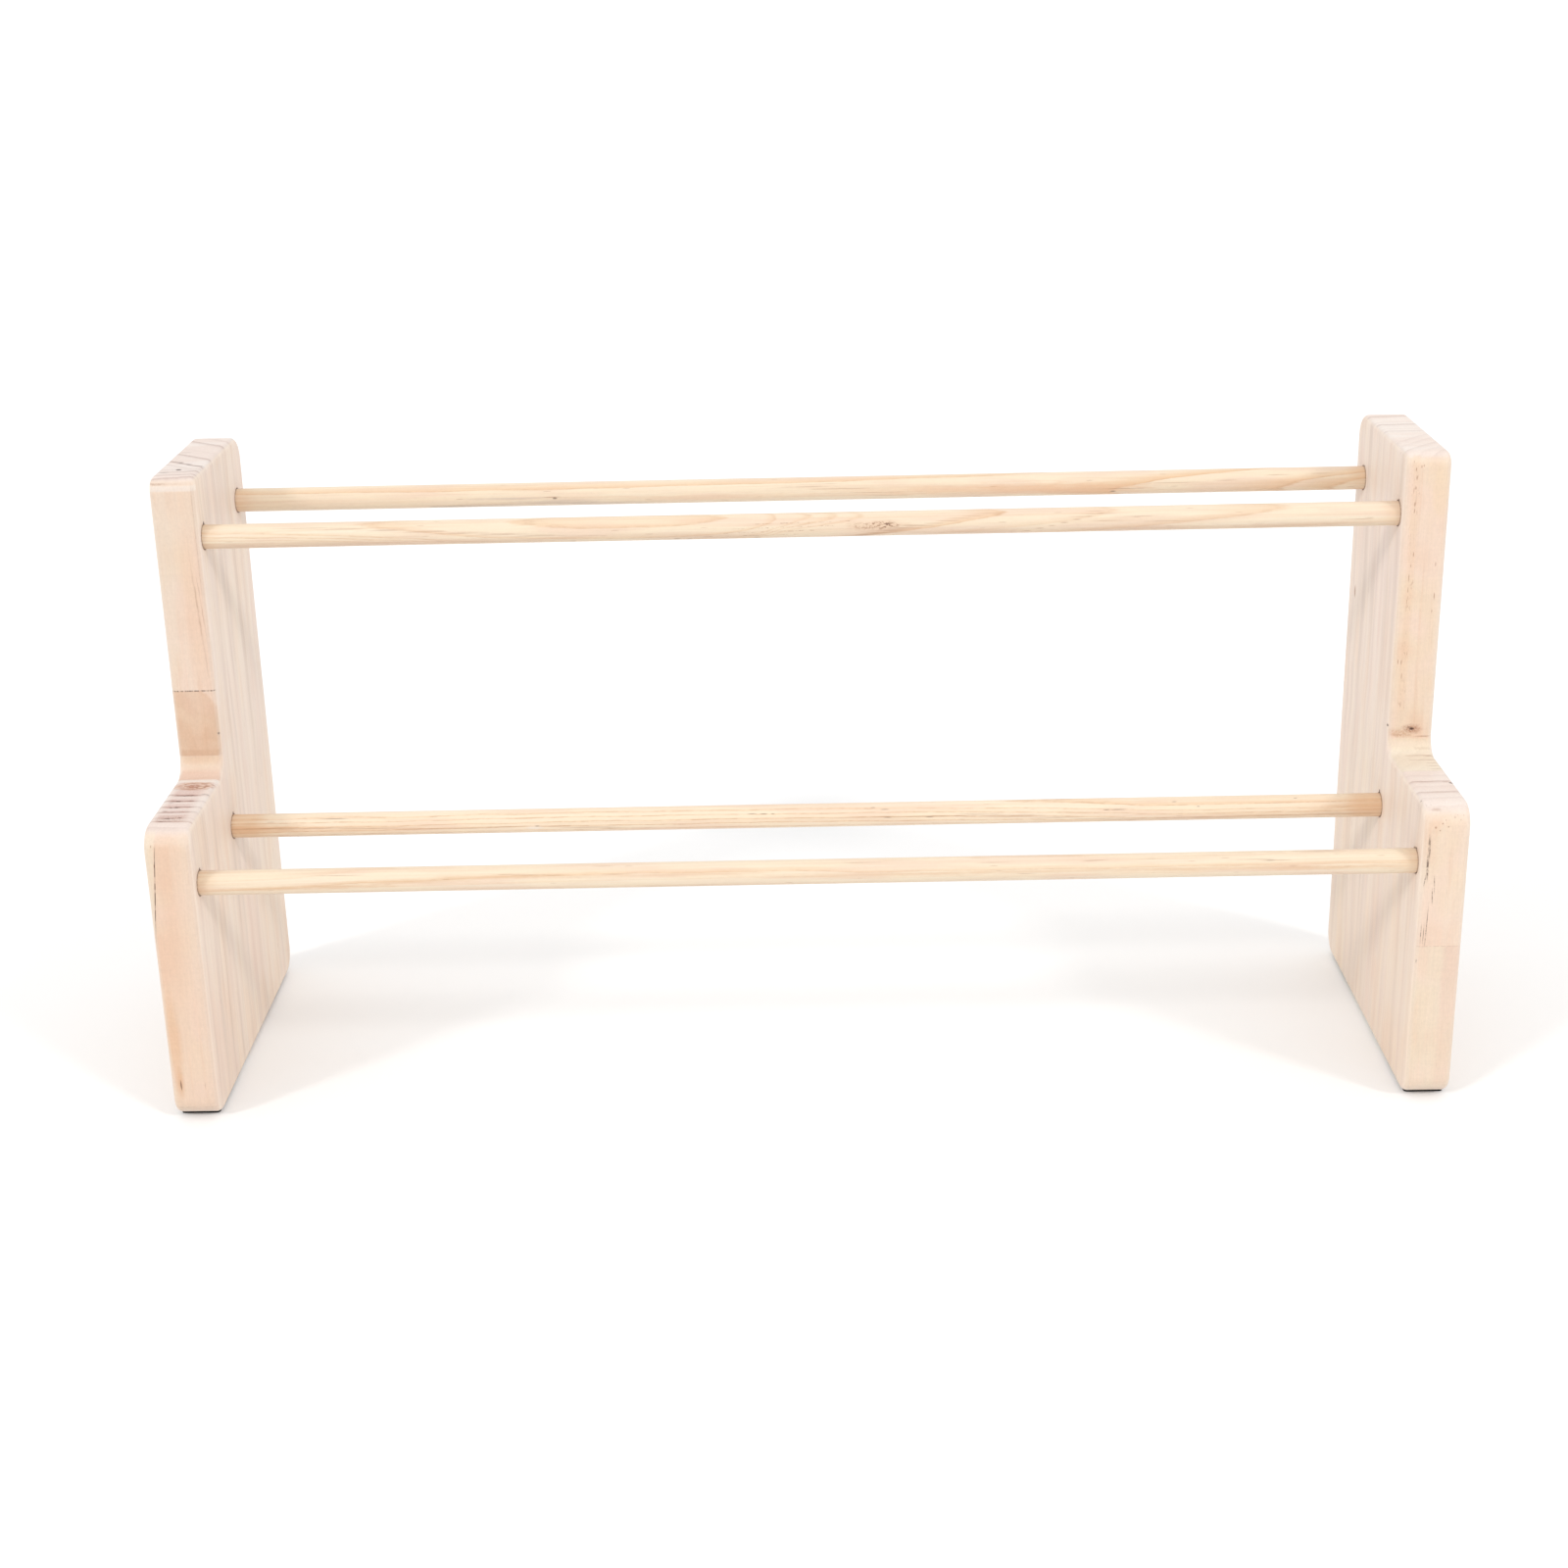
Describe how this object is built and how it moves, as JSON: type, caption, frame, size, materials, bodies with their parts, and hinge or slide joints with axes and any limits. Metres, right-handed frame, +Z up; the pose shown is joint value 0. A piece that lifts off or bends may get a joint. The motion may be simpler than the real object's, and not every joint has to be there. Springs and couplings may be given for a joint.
{
  "type": "two-tier wooden rod rack",
  "caption": "Free-standing stepped wooden rack for hobby paint bottles: two end panels joined by pairs of round rods, one pair to a tier, on thin foot pads.",
  "frame": {"origin": "middle of the footprint in X and Y, on the surface the rack stands on (the underside of the foot pads)", "axes": "+X along the rods, towards the right panel; +Y from the lower front tier to the upper back tier; +Z up"},
  "size_m": [0.42, 0.122, 0.204],
  "materials": {
    "panel_wood": "sanded bare pine, satin",
    "rod_wood": "sanded bare pine dowel, satin",
    "pad_rubber": "matt black",
    "screw_steel": "zinc plated"
  },
  "bodies": {
    "root": {"left_side_panel": "panel_wood", "right_side_panel": "panel_wood", "lower_front_rod": "rod_wood", "lower_back_rod": "rod_wood", "upper_front_rod": "rod_wood", "upper_back_rod": "rod_wood", "left_rod_screws": "screw_steel", "right_rod_screws": "screw_steel", "foot_pad_front_left": "pad_rubber", "foot_pad_front_right": "pad_rubber", "foot_pad_back_left": "pad_rubber", "foot_pad_back_right": "pad_rubber"}
  },
  "joints": []
}
